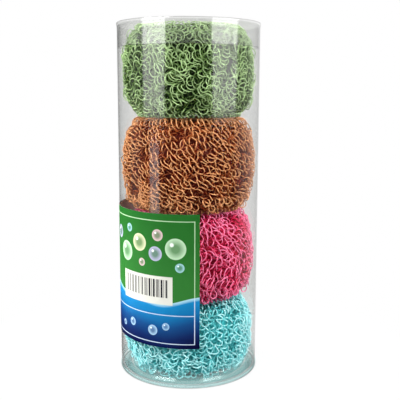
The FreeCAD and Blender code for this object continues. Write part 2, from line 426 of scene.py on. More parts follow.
def clear_plastic(name, tint, roughness, ior, haze, clear=1.0, painted_band=None, edge=None):
    """Thin clear sheet: gloss on the side it is seen from, straight sight through, lamps let in.

    the band of painted light and shade: two heights in millimetres, and the tint that sets in between them
    edge: the tint of slanting faces, a painted dark line
    """
    material, tree = new_material(name)
    sheet = add_node(tree, "ShaderNodeBsdfPrincipled")
    sheet.inputs["Roughness"].default_value = 0.0
    sheet.inputs["Transmission Weight"].default_value = clear
    sheet.inputs["IOR"].default_value = 1.0
    sheet.inputs["Coat Roughness"].default_value = roughness
    sheet.inputs["Coat IOR"].default_value = ior
    face = add_node(tree, "ShaderNodeNewGeometry")
    facing = add_node(tree, "ShaderNodeSeparateXYZ")
    tree.links.new(face.outputs["Normal"], facing.inputs[0])
    wear = add_node(tree, "ShaderNodeGroup", node_tree=sheet_wear)
    wear.inputs["Haze"].default_value = haze
    coated = ranged(tree, facing.outputs["Z"], *UNDERSIDE)
    tree.links.new(sums(tree, "MULTIPLY", coated, wear.outputs["Gloss"]), sheet.inputs["Coat Weight"])
    colour = mixed(tree, wear.outputs["Haze"], tint, HAZE_TINT)
    # painted light and shade: a tint laid over a band of heights
    if painted_band:
        height = object_place(tree)[1].outputs["Z"]
        in_painted_band = ranged(tree, height, painted_band[0] * MM, painted_band[1] * MM)
        colour = mixed(tree, in_painted_band, colour, painted_band[2])
    # painted shade: slanting faces take a dark tint where bending light would darken a real rim
    if edge:
        slant = sums(tree, "ABSOLUTE", facing.outputs["Z"])
        colour = mixed(tree, within(tree, slant, *SLANTING, SLANT_SOFT), colour, edge)
    tree.links.new(colour, sheet.inputs["Base Color"])
    open_sheet = add_node(tree, "ShaderNodeBsdfTransparent")
    open_sheet.inputs["Color"].default_value = (*tint, 1)
    path = add_node(tree, "ShaderNodeLightPath")
    let_through = sums(tree, "MAXIMUM", path.outputs["Is Shadow Ray"], face.outputs["Backfacing"])
    show(tree, mix_shaders(tree, let_through, sheet, open_sheet))
    return material


def dress(node, material):
    """Give a CAD node its material."""
    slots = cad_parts[node].data.materials
    slots.clear()
    slots.append(material)


tube_plastic = clear_plastic("tube_plastic", tint=(0.90, 0.903, 0.898), roughness=0.12, ior=1.62, haze=0.06)
# the lid's top band and its slanting edges are tinted darker: painted shade for the dark line at a real rim
lid_plastic = clear_plastic(
    "lid_plastic", tint=(0.955, 0.957, 0.953), roughness=0.1, ior=1.9, haze=0.05, clear=0.96,
    painted_band=(210.6, 211.0, (0.80, 0.805, 0.79)), edge=(0.5, 0.505, 0.49),
)
# the base's teal tint and its darker tint low in the floor and foot are painted light and shade: the aqua
# ball's teal light and the shadow under it
base_plastic = clear_plastic(
    "base_plastic", tint=(0.90, 0.975, 0.975), roughness=0.11, ior=1.6, haze=0.05,
    painted_band=(2.3, 1.9, (0.58, 0.92, 0.91)),
)
dress("tube", tube_plastic)
dress("base_cap", base_plastic)
dress("top_cap", lid_plastic)
print("clear plastics:", tube_plastic.name, lid_plastic.name, base_plastic.name)

# %% [markdown]
# ## Printed label
# A sheet of satin paper is glued round the left and front of the tube. Its print is generic: a green field
# over blue water, pale frame lines, soap bubbles and a white panel with plain bars. A painted picture would
# blur close up, so the print is built from nodes that read the place round the tube and the height. The
# inner face of the sheet is bare pale paper, told from the print by its smaller radius.

# %% Places on the label
LABEL_RADIUS = 43.2
PAPER_MIDDLE = 43.125
PRINT_SOFT = 0.1
label_paper, tree = new_material("label_paper")
place, parts = object_place(tree)
# the angle starts over at the right, where there is no label
angle = sums(tree, "WRAP", front_angle(tree, parts), 0.5 * math.pi, -1.5 * math.pi)
along = sums(tree, "MULTIPLY", angle, LABEL_RADIUS)
height = sums(tree, "MULTIPLY", parts.outputs["Z"], 1 / MM)
away = add_node(tree, "ShaderNodeVectorMath", operation="LENGTH")
flat = add_node(tree, "ShaderNodeCombineXYZ")
tree.links.new(parts.outputs["X"], flat.inputs["X"])
tree.links.new(parts.outputs["Y"], flat.inputs["Y"])
tree.links.new(flat.outputs[0], away.inputs[0])
inner_face = sums(tree, "LESS_THAN", away.outputs["Value"], PAPER_MIDDLE * MM)
print("label radius:", LABEL_RADIUS, "mm")

# %% Fields of the label
GREEN_DARK = (0.010, 0.115, 0.013)
GREEN_LIGHT = (0.036, 0.200, 0.034)
# share of the depth, colour
WATER = (
    (0.00, (0.40, 0.62, 0.70)),
    (0.045, (0.20, 0.47, 0.65)),
    (0.075, (0.005, 0.205, 0.47)),
    (0.32, (0.004, 0.140, 0.36)),
    (0.50, (0.004, 0.058, 0.205)),
    (0.74, (0.002, 0.015, 0.098)),
    (0.97, (0.001, 0.002, 0.036)),
)
# heights and depths in millimetres, paces in radians for each millimetre along
WATER_DEPTH = 30.0
FIELD_TOP = 103.8
FIELD_LOW = 46.8
FIELD_GRAIN = 0.3
SHORE = 53.8
SWELL_PACE = 0.075
SWELL_HIGH = 2.4
RIPPLE_PACE = 0.19
RIPPLE_SHIFT = 1.1
RIPPLE_HIGH = 0.7
grain = noise(tree, place, size=45, detail=4)
climb = sums(tree, "MULTIPLY", ranged(tree, height, FIELD_TOP, FIELD_LOW), 1 - FIELD_GRAIN)
shade = sums(tree, "MULTIPLY_ADD", grain, FIELD_GRAIN, climb)
field = mixed(tree, shade, GREEN_DARK, GREEN_LIGHT)
swell = sums(tree, "SINE", sums(tree, "MULTIPLY", along, SWELL_PACE))
ripple = sums(tree, "SINE", sums(tree, "MULTIPLY_ADD", along, RIPPLE_PACE, RIPPLE_SHIFT))
shore = sums(tree, "MULTIPLY_ADD", ripple, RIPPLE_HIGH, SHORE)
shore = sums(tree, "MULTIPLY_ADD", swell, SWELL_HIGH, shore)
below = sums(tree, "SUBTRACT", shore, height)
under_water = ranged(tree, below, -PRINT_SOFT, PRINT_SOFT)
water = colour_ramp(tree, sums(tree, "DIVIDE", below, WATER_DEPTH), WATER)
field = mixed(tree, under_water, field, water)
print("water tones:", len(WATER))

# %% Bubbles
# place round the tube, height and radius in millimetres, tint
BUBBLES = (
    (-7.5, 83.8, 6.2, (0.62, 0.86, 0.60)),
    (-18.5, 91.3, 3.4, (0.90, 0.62, 0.68)),
    (-20.0, 80.3, 4.3, (0.60, 0.55, 0.84)),
    (-5.0, 72.8, 2.7, (0.45, 0.76, 0.88)),
    (-31.5, 85.8, 5.2, (0.86, 0.84, 0.56)),
    (-40.5, 93.3, 2.5, (0.45, 0.76, 0.88)),
    (-44.0, 78.8, 6.0, (0.62, 0.86, 0.60)),
    (-29.5, 74.3, 2.3, (0.90, 0.62, 0.68)),
    (-54.0, 88.8, 4.0, (0.60, 0.55, 0.84)),
    (-13.5, 37.3, 2.2, (0.45, 0.70, 0.90)),
    (-22.0, 34.3, 3.1, (0.45, 0.70, 0.90)),
    (-38.0, 36.3, 2.5, (0.45, 0.70, 0.90)),
    (-47.5, 33.3, 1.8, (0.45, 0.70, 0.90)),
)
PATTERN_FROM = -61.0
PATTERN_TO = 6.5
FOAM = (0.92, 0.96, 0.94)
# shares of a bubble's radius, and of its ink
RIM_FROM = 0.35
RIM_TINT = 0.6
GLASS_TINT = 0.18
SHINE_LEFT = 0.35
SHINE_UP = 0.38
SHINE_EDGE = (0.24, 0.14)
SHINE_TINT = 0.85
repeat = sums(tree, "WRAP", along, PATTERN_TO, PATTERN_FROM)
sheet_place = add_node(tree, "ShaderNodeCombineXYZ")
tree.links.new(repeat, sheet_place.inputs["X"])
tree.links.new(height, sheet_place.inputs["Y"])


def reach_from(centre):
    """Distance on the sheet from a point, in millimetres."""
    node = add_node(tree, "ShaderNodeVectorMath", operation="DISTANCE")
    node.inputs[1].default_value = (*centre, 0)
    tree.links.new(sheet_place.outputs[0], node.inputs[0])
    return node.outputs["Value"]


for left, up, size, tint in BUBBLES:
    reach = reach_from((left, up))
    body = ranged(tree, reach, size + PRINT_SOFT, size - PRINT_SOFT)
    rim = ranged(tree, reach, RIM_FROM * size, size)
    film = sums(tree, "MULTIPLY", body, sums(tree, "MULTIPLY_ADD", rim, RIM_TINT, GLASS_TINT))
    field = mixed(tree, film, field, tint)
    shine = reach_from((left - SHINE_LEFT * size, up + SHINE_UP * size))
    spot = ranged(tree, shine, SHINE_EDGE[0] * size, SHINE_EDGE[1] * size)
    field = mixed(tree, sums(tree, "MULTIPLY", spot, SHINE_TINT), field, FOAM)
print("bubbles:", len(BUBBLES))

# %% Frame lines and panel
LINE = (0.44, 0.66, 0.40)
WATER_LINE = (0.52, 0.64, 0.78)
# place round the tube and height in millimetres
FRAME_MIDDLE = (-67.7, 63.4)
FRAME_HALF = (71.25, 36.3)
LINE_HALF = 0.24
RULE_HEIGHT = 44.2
# left, right, low and high side in millimetres
PANEL = (-46.8, -9.3, 50.4, 67.2)
BARS = (-44.3, -11.6, 54.6, 65.3)
PANEL_WHITE = (0.66, 0.66, 0.60)
BAR_INK = (0.02, 0.02, 0.025)
# pace and shift of the waves whose sum gives bars of uneven width
BAR_WAVES = ((2.3, 0.0), (3.9, 1.2), (6.4, 0.5))
BAR_EDGE = (0.0, 0.3)
sides = sums(tree, "ABSOLUTE", sums(tree, "SUBTRACT", along, FRAME_MIDDLE[0]))
sides = sums(tree, "SUBTRACT", sides, FRAME_HALF[0])
ends = sums(tree, "ABSOLUTE", sums(tree, "SUBTRACT", height, FRAME_MIDDLE[1]))
ends = sums(tree, "SUBTRACT", ends, FRAME_HALF[1])
edge = sums(tree, "MAXIMUM", sides, ends)
line = ranged(tree, sums(tree, "ABSOLUTE", edge), LINE_HALF + PRINT_SOFT, LINE_HALF - PRINT_SOFT)
rule = sums(tree, "ABSOLUTE", sums(tree, "SUBTRACT", height, RULE_HEIGHT))
rule = ranged(tree, rule, LINE_HALF + PRINT_SOFT, LINE_HALF - PRINT_SOFT)
rule = sums(tree, "MULTIPLY", rule, sums(tree, "LESS_THAN", edge, 0))
line_ink = mixed(tree, under_water, LINE, WATER_LINE)
field = mixed(tree, sums(tree, "MAXIMUM", line, rule), field, line_ink)


def block(box):
    """A mask for a rectangle on the sheet."""
    across = within(tree, along, box[0], box[1], PRINT_SOFT)
    return sums(tree, "MULTIPLY", across, within(tree, height, box[2], box[3], PRINT_SOFT))


field = mixed(tree, block(PANEL), field, PANEL_WHITE)
beat = None
for pace, shift in BAR_WAVES:
    wave = sums(tree, "SINE", sums(tree, "MULTIPLY_ADD", along, pace, shift))
    beat = wave if beat is None else sums(tree, "ADD", beat, wave)
bars = sums(tree, "MULTIPLY", ranged(tree, beat, *BAR_EDGE), block(BARS))
field = mixed(tree, bars, field, BAR_INK)
print("panel:", PANEL[1] - PANEL[0], "mm wide")

# %% Paper
BARE_PAPER = (0.82, 0.79, 0.74)
PAPER_SPECULAR = 0.08
PRINT_ROUGHNESS = 0.34
FIBRE_ROUGHENS = 0.16
BARE_ROUGHENS = 0.4
FIBRE_RELIEF = 0.05 * MM


def bumped(tree, height, distance, strength):
    """A normal from a height."""
    node = add_node(tree, "ShaderNodeBump")
    node.inputs["Distance"].default_value = distance
    node.inputs["Strength"].default_value = strength
    tree.links.new(height, node.inputs["Height"])
    return node.outputs["Normal"]


paper = add_node(tree, "ShaderNodeBsdfPrincipled")
paper.inputs["Specular IOR Level"].default_value = PAPER_SPECULAR
tree.links.new(mixed(tree, inner_face, field, BARE_PAPER), paper.inputs["Base Color"])
fibre = noise(tree, place, size=900, detail=3)
rough = sums(tree, "MULTIPLY_ADD", fibre, FIBRE_ROUGHENS, PRINT_ROUGHNESS)
rough = sums(tree, "MULTIPLY_ADD", inner_face, BARE_ROUGHENS, rough)
tree.links.new(rough, paper.inputs["Roughness"])
tree.links.new(bumped(tree, fibre, FIBRE_RELIEF, strength=0.25), paper.inputs["Normal"])
show(tree, paper)
dress("label", label_paper)
print("label nodes:", len(tree.nodes))

# %% [markdown]
# ## Knitted balls
# Each scrubber is a length of knitted tube, rolled and gathered into a ball. Its stiff yarn shows as zigzag
# stitches, as coils that lean over like a pushed spring, and as loose loops. A bumpy ball or hair would not
# give round loops with deep gaps between them, so the yarn itself is modelled. First the skin of the CAD
# ball is measured by rays, so that yarn can be laid on it by its direction from the middle.

# %% Skin of a ball
ROWS = 72
COLUMNS = 144
RAY_START = 200 * MM
LEAST_REACH = 0.55


class BallSkin:
    """The CAD ball's skin as points and outward normals, looked up by direction from its middle."""

    def __init__(self, node):
        self.low, self.high = (np.array(corner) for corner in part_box(node))
        self.middle = (self.low + self.high) / 2
        tree = BVHTree.FromObject(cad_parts[node], bpy.context.evaluated_depsgraph_get())
        slant = np.linspace(0, math.pi, ROWS + 1)[:, None]
        turn = np.linspace(0, 2 * math.pi, COLUMNS + 1)[None, :]
        level = np.cos(slant) + 0 * turn
        rays = np.stack((np.sin(slant) * np.cos(turn), np.sin(slant) * np.sin(turn), level), -1)
        reach = np.zeros(rays.shape[:2])
        for row in range(ROWS + 1):
            for column in range(COLUMNS):
                ray = Vector(rays[row, column])
                hit = tree.ray_cast(Vector(self.middle) + ray * RAY_START, -ray)
                reach[row, column] = RAY_START - hit[3] if hit[0] else 0
        reach[:, COLUMNS] = reach[:, 0]
        reach = np.maximum(reach, LEAST_REACH * np.median(reach))
        self.points = self.middle + reach[..., None] * rays
        down = np.gradient(self.points, axis=0)
        round_about = np.gradient(self.points, axis=1)
        normals = np.cross(down, round_about)
        normals[0] = (0, 0, 1)
        normals[-1] = (0, 0, -1)
        self.normals = normals / np.maximum(np.linalg.norm(normals, axis=-1, keepdims=True), 1e-12)

    def at(self, rays):
        """Points and normals of the skin along rays from the middle."""
        rays = rays / np.linalg.norm(rays, axis=-1, keepdims=True)
        row = np.arccos(np.clip(rays[..., 2], -1, 1)) / math.pi * ROWS
        column = np.arctan2(rays[..., 1], rays[..., 0]) / (2 * math.pi) % 1 * COLUMNS
        above = np.minimum(row.astype(int), ROWS - 1)
        left = np.minimum(column.astype(int), COLUMNS - 1)
        down = (row - above)[..., None]
        side = (column - left)[..., None]
        found = []
        for grid in (self.points, self.normals):
            upper = grid[above, left] * (1 - side) + grid[above, left + 1] * side
            lower = grid[above + 1, left] * (1 - side) + grid[above + 1, left + 1] * side
            found.append(upper * (1 - down) + lower * down)
        normal = found[1] / np.linalg.norm(found[1], axis=-1, keepdims=True)
        return found[0], normal


# %% Sway over space
WAVE_SPREAD = (0.6, 1.6)


class Waves:
    """Smooth random values over space, about -1 to 1, from a few crossing waves."""

    def __init__(self, rng, length, count=7):
        ways = rng.normal(size=(count, 3))
        ways /= np.linalg.norm(ways, axis=1, keepdims=True)
        self.pull = ways.T * (2 * math.pi / length * rng.uniform(*WAVE_SPREAD, count))
        self.shift = rng.uniform(0, 2 * math.pi, count)

    def at(self, points):
        """The value at each point."""
        return np.sin(points @ self.pull + self.shift).sum(axis=-1) / math.sqrt(len(self.shift))


# %% [markdown]
# ## Lines that the yarn follows
# Knit runs in rows that keep their distance, and folds make the rows wander. A grid would show at once as a
# pattern. So lines are grown over the skin, step by step along a heading that sways, and each stops where it
# would crowd another. New lines start beside old ones, until the skin is full.

# %% Lines over a skin
STEP = 1.0 * MM
THROAT = 5.5 * MM
RIM_POINTS = 170
# seeds and steps are counts; room is a share of the spacing, half length a share of the longest line
FIRST_SEEDS = 60
SEED_EVERY = 3
SEED_ROOM = 0.88
LINE_ROOM = 0.6
HALF_LENGTH = (0.25, 0.5)
RING_STEPS = 25


def rim_line(skin, radius, level):
    """A ring round the ball's shoulder, from behind to behind."""
    turn = np.linspace(0.5 * math.pi, 2.5 * math.pi, RIM_POINTS)
    rays = np.stack((radius * np.cos(turn), radius * np.sin(turn), level + 0 * turn), -1)
    return skin.at(rays)


def ladder_lines(skin, heading, spacing, longest, shortest, rng, fixed=()):
    """Lines over the skin that follow a heading, keep an even distance and stay off the gathered throats.

    spacing, longest: lengths; shortest: the fewest points; fixed: lines that are there already
    """
    cells = {}

    def cell(point):
        return tuple(np.floor(point / spacing).astype(int))

    def crowded(point, limit):
        if math.hypot(point[0], point[1]) < THROAT:
            return True
        x, y, z = cell(point)
        for i in (x - 1, x, x + 1):
            for j in (y - 1, y, y + 1):
                for k in (z - 1, z, z + 1):
                    for other in cells.get((i, j, k), ()):
                        gap = point - other
                        if gap @ gap < limit * limit:
                            return True
        return False

    def grow(point, normal, sign, most):
        found = []
        course = sign * heading(point, normal)
        start = point
        while len(found) < most:
            point, normal = skin.at(point + course * STEP - skin.middle)
            if crowded(point, LINE_ROOM * spacing):
                break
            if len(found) > RING_STEPS and np.linalg.norm(point - start) < spacing:
                break
            follow = heading(point, normal)
            course = follow if follow @ course > 0 else -follow
            found.append(point)
        return found

    for line, _ in fixed:
        for point in line:
            cells.setdefault(cell(point), []).append(point)
    seeds = list(skin.middle + rng.normal(size=(FIRST_SEEDS, 3)))
    lines = []
    while seeds:
        seed, normal = skin.at(seeds.pop(rng.integers(len(seeds))) - skin.middle)
        if crowded(seed, SEED_ROOM * spacing):
            continue
        most = int(longest / STEP * rng.uniform(*HALF_LENGTH))
        line = grow(seed, normal, -1, most)[::-1] + [seed] + grow(seed, normal, 1, most)
        if len(line) < shortest:
            continue
        line = np.array(line)
        normals = skin.at(line - skin.middle)[1]
        lines.append((line, normals))
        for point in line:
            cells.setdefault(cell(point), []).append(point)
        along = np.gradient(line, axis=0)
        across = np.cross(normals, along)
        across *= spacing / np.linalg.norm(across, axis=1, keepdims=True)
        for index in range(0, len(line), SEED_EVERY):
            seeds.append(line[index] + across[index])
            seeds.append(line[index] - across[index])
    return lines


# %% [markdown]
# ## Yarn along the lines
# A course holds the places of one yarn along its line. Two kinds of knit come from it: a zigzag whose bends
# go under their neighbours, and a leaning coil. Stray loops lie loose on top, and hem loops hang at a lower
# edge. Each is only a row of points, so that a ball stays light; a curve with a round section makes it yarn.

# %% Course of loops
END_SINK = 4.0 * MM
END_LOOPS = 0.9


class Course:
    """Places along a line over the skin, one for every point of a yarn that loops along it."""

    def __init__(self, line, normals, width, points, rng):
        run = np.concatenate(((0,), np.cumsum(np.linalg.norm(np.diff(line, axis=0), axis=1))))
        self.line = line
        self.normals = normals
        self.run = run
        self.rng = rng
        self.loops = max(2, round(run[-1] / width))
        self.count = self.loops * points
        self.turn = np.arange(self.count) / points
        self.phase = 2 * math.pi * self.turn
        nearest = np.minimum(self.turn, self.turn[::-1])
        self.dive = END_SINK * np.clip(1 - nearest / END_LOOPS, 0, 1) ** 2

    def uneven(self, low, high, every=0.5):
        """Random values that change smoothly from loop to loop."""
        knots = np.arange(0, self.loops + every, every)
        return np.interp(self.turn, knots, self.rng.uniform(low, high, len(knots)))

    def path(self, shift, side, lift):
        """Points that stand off the line by a shift along it, a side step and a lift."""
        place = (np.arange(self.count) + 0.5) / self.count * self.run[-1]
        tracks = []
        for track in (self.line, self.normals, np.gradient(self.line, axis=0)):
            tracks.append(np.stack([np.interp(place, self.run, track[:, axis]) for axis in range(3)], -1))
        centre, out, along = tracks
        along /= np.linalg.norm(along, axis=1, keepdims=True)
        across = np.cross(out, along)
        off_skin = out * (lift - self.dive)[:, None]
        return centre + along * shift[:, None] + across * side[:, None] + off_skin


# %% Stitches and coils
LOOP_POINTS = 12
# how far loose yarn strays: skew in degrees, wander and lift in millimetres, the rest as shares of its size
REACH_CHANGE = 0.4
STITCH_SKEW = 30
STITCH_SLIP = 0.22
STITCH_WANDER = 0.8
STITCH_LIFT = 0.7
COIL_SKEW = 35
COIL_RISE_CHANGE = 0.3
COIL_SLIP = 0.5
COIL_WANDER = 1
COIL_LIFT = 0.6


def stitches(line, normals, size, loose, sink, rng):
    """A zigzag of yarn whose slanting legs rise to the skin and whose bends go under their neighbours."""
    width, tall, weave = size
    course = Course(line, normals, width, LOOP_POINTS, rng)
    skew = np.radians(course.uneven(-STITCH_SKEW, STITCH_SKEW, 1) * loose)
    reach = tall / 2 * np.cos(course.phase) * (1 + loose * course.uneven(-REACH_CHANGE, REACH_CHANGE))
    shift = width * loose * course.uneven(-STITCH_SLIP, STITCH_SLIP) + reach * np.sin(skew)
    side = reach * np.cos(skew) + loose * course.uneven(-STITCH_WANDER, STITCH_WANDER, 1) * MM
    lift = loose * course.uneven(-STITCH_LIFT, STITCH_LIFT, 1) * MM - weave * np.cos(2 * course.phase)
    return course.path(shift, side, lift - sink)


def coil(line, normals, size, loose, sink, rng, points=LOOP_POINTS):
    """A leaning coil of yarn; its turns lie over each other like a pushed-over spring."""
    width, pitch, depth, least_lean, most_lean = size
    course = Course(line, normals, pitch, points, rng)
    lean = rng.choice((-1, 1)) * np.radians(course.uneven(least_lean, most_lean, 1))
    skew = np.radians(course.uneven(-COIL_SKEW, COIL_SKEW, 1) * loose)
    reach = width / 2 * np.cos(course.phase) * (1 + loose * course.uneven(-REACH_CHANGE, REACH_CHANGE))
    change = course.uneven(-COIL_RISE_CHANGE, COIL_RISE_CHANGE)
    rise = depth / 2 * np.sin(course.phase) * (1 + loose * change)
    slip = pitch * loose * course.uneven(-COIL_SLIP, COIL_SLIP)
    shift = slip + reach * np.sin(skew) + rise * np.sin(lean)
    side = reach * np.cos(skew) + loose * course.uneven(-COIL_WANDER, COIL_WANDER) * MM
    lift = rise * np.cos(lean) + loose * course.uneven(-COIL_LIFT, COIL_LIFT, 1) * MM
    return course.path(shift, side, lift - sink)


# %% Loose loops
# open: share of a full ring; ends: share of the loop before its ends dive in
# tilt in degrees, twist in radians, slip and lift of a stray in millimetres, the rest as shares of its size
END_DIVE = 2.5
STRAY_POINTS = 13
STRAY_TILT = 75
STRAY_OPEN = (0.6, 0.95)
STRAY_SLIP = (0.5, 2.5)
STRAY_LIFT = (-0.6, 1.0)
STRAY_ENDS = 0.6
TILT_SINKS = 0.8
HEM_POINTS = 15
HEM_TWIST = 0.6
HEM_OPEN = (0.8, 1.0)
HEM_SLIP = 0.3
HEM_ENDS = 0.65
HEM_OUT = 0.5 * MM
UP = np.array((0, 0, 1))


def stray_loop(skin, ray, size, rng):
    """One open loop that lies loose on the knit; its two ends go back in."""
    point, normal = skin.at(ray)
    along = np.cross(normal, rng.normal(size=3))
    along /= np.linalg.norm(along)
    across = np.cross(normal, along)
    tilt = math.radians(rng.uniform(-STRAY_TILT, STRAY_TILT))
    up = math.cos(tilt) * across + math.sin(tilt) * normal
    run = np.linspace(-1, 1, STRAY_POINTS)
    turn = run * rng.uniform(*STRAY_OPEN) * math.pi
    ring = size * (np.sin(turn)[:, None] * along + np.cos(turn)[:, None] * up)
    slip = run[:, None] / 2 * along * rng.uniform(*STRAY_SLIP) * MM
    dive = np.clip(np.abs(run) - STRAY_ENDS, 0, 1)[:, None] * END_DIVE * size
    lift = rng.uniform(*STRAY_LIFT) * MM - TILT_SINKS * size * abs(math.sin(tilt))
    return point + ring + slip + normal * (lift - dive)


def hem_loop(skin, turn, drop, size, rng):
    """One round loop that hangs at the ball's lower edge and faces outwards; its two ends go back in."""
    out = np.array((math.cos(turn), math.sin(turn), 0))
    point = skin.at(out - drop * UP)[0]
    twist = rng.uniform(-HEM_TWIST, HEM_TWIST)
    along = math.cos(twist) * np.cross(UP, out) + math.sin(twist) * out
    run = np.linspace(-1, 1, HEM_POINTS)
    swing = run * rng.uniform(*HEM_OPEN) * math.pi
    ring = size * (np.sin(swing)[:, None] * along - np.cos(swing)[:, None] * UP)
    slip = run[:, None] * along * rng.uniform(-HEM_SLIP, HEM_SLIP) * size
    dive = np.clip(np.abs(run) - HEM_ENDS, 0, 1)[:, None] * END_DIVE * size
    return point + ring + slip + out * (HEM_OUT - dive)


# %% Meshes of a ball
CORE_SEGMENTS = 48
CORE_RINGS = 24


def yarn_piece(name, paths, radius):
    """A mesh of yarn along paths; a path that ends where it began is a ring, any other has closed ends."""
    curve = bpy.data.curves.new(name, "CURVE")
    curve.dimensions = "3D"
    curve.bevel_depth = radius
    curve.bevel_resolution = 0
    curve.use_fill_caps = True
    for path in paths:
        ring = np.allclose(path[0], path[-1])
        if ring:
            path = path[:-1]
        spline = curve.splines.new("POLY")
        spline.use_cyclic_u = ring
        spline.points.add(len(path) - 1)
        spline.points.foreach_set("co", np.c_[path, np.ones(len(path))].ravel())
        spline.use_smooth = True
    piece = bpy.data.objects.new(name, curve)
    bpy.context.scene.collection.objects.link(piece)
    bpy.ops.object.select_all(action="DESELECT")
    bpy.context.view_layer.objects.active = piece
    piece.select_set(True)
    bpy.ops.object.convert(target="MESH")
    return bpy.context.object


def core_piece(name, skin, sink):
    """The rolled-up fabric in the middle: a ball sunk below the skin."""
    bpy.ops.object.select_all(action="DESELECT")
    bpy.ops.mesh.primitive_uv_sphere_add(segments=CORE_SEGMENTS, ring_count=CORE_RINGS, radius=1)
    core = bpy.context.object
    core.name = name
    rays = np.array([vertex.co for vertex in core.data.vertices])
    points, normals = skin.at(rays)
    points = points - sink * normals
    core.data.vertices.foreach_set("co", points.ravel())
    bpy.ops.object.shade_smooth()
    return core


# %% [markdown]
# ## Yarn
# The yarn is satin plastic. Its colour holds painted shade and light: pale where it stands out and darker
# where it lies far in between its neighbours. Light in a loose ball doesn't fall off that fast, so each
# point keeps how far below the skin it lies, and the colour follows it. Uneven tone and fine fibres come
# from a node group, which the ties use too.

# %% Grain of a strand
STRAND_SIZES = {"Patch Size": 150, "Fibre Size": 2200, "Roughness": 0.38}
PATCH_CHANGE = 0.4
FIBRE_CHANGE = 0.24
strand_grain, ins, outs = node_group("strand_grain", STRAND_SIZES, ("Patch", "Roughness", "Height"))
patch = group_noise(strand_grain, ins.outputs["Patch Size"], 3)
patch = sums(strand_grain, "MULTIPLY_ADD", patch, PATCH_CHANGE, -PATCH_CHANGE / 2)
strand_grain.links.new(patch, outs.inputs["Patch"])
fibre = group_noise(strand_grain, ins.outputs["Fibre Size"], 2)
rough = sums(strand_grain, "MULTIPLY_ADD", fibre, FIBRE_CHANGE, -FIBRE_CHANGE / 2)
rough = sums(strand_grain, "ADD", rough, ins.outputs["Roughness"])
strand_grain.links.new(rough, outs.inputs["Roughness"])
strand_grain.links.new(fibre, outs.inputs["Height"])
print("strand_grain nodes:", len(strand_grain.nodes))

# %% Yarn material
# depths below the skin over which the yarn goes from pale at the tips to the darkest painted shade
DEEPEST = 4.2 * MM
SHALLOWEST = 0.2 * MM
MID_STOP = 0.58
YARN_RELIEF = 0.04 * MM
YARN_SPECULAR = 0.25


def mark_depth(piece, skin):
    """Store on each point how near it is to the ball's skin, 0 far inside to 1 outside, for the painted
    shade.
    """
    mesh = piece.data
    points = np.empty(len(mesh.vertices) * 3)
    mesh.vertices.foreach_get("co", points)
    points = points.reshape(-1, 3) - skin.middle
    surface = skin.at(points)[0] - skin.middle
    depth = np.linalg.norm(surface, axis=1) - np.linalg.norm(points, axis=1)
    rise = np.clip((DEEPEST - depth) / (DEEPEST - SHALLOWEST), 0, 1)
    mesh.attributes.new("rise", "FLOAT", "POINT").data.foreach_set("value", rise)


def yarn_material(name, look):
    """Satin plastic yarn; its colour is painted shade and light: dark far inside the ball, pale at the tips.
    """
    material, tree = new_material(name)
    yarn = add_node(tree, "ShaderNodeBsdfPrincipled")
    grain = add_node(tree, "ShaderNodeGroup", node_tree=strand_grain)
    rise = add_node(tree, "ShaderNodeAttribute", attribute_name="rise")
    # painted shade and light: the depth mark, with a little random tone, sets the colour between dark and
    # pale
    height = sums(tree, "ADD", rise.outputs["Fac"], grain.outputs["Patch"])
    stops = ((0.0, look["deep_shade"]), (MID_STOP, look["half_shade"]), (1.0, look["tip"]))
    tree.links.new(colour_ramp(tree, height, stops), yarn.inputs["Base Color"])
    tree.links.new(grain.outputs["Roughness"], yarn.inputs["Roughness"])
    relief = bumped(tree, grain.outputs["Height"], YARN_RELIEF, strength=0.3)
    tree.links.new(relief, yarn.inputs["Normal"])
    yarn.inputs["Specular IOR Level"].default_value = YARN_SPECULAR
    show(tree, yarn)
    return material


# %% [markdown]
# ## The four balls
# The four balls differ as on the real pack: the green one is a tangle of rings, the brown one has slanting
# rows, and the pink and aqua ones end in round loops. One look per ball holds what differs, and one loop
# builds them all. An outer knit shows, an under knit fills its gaps, and a core stops the sight through.

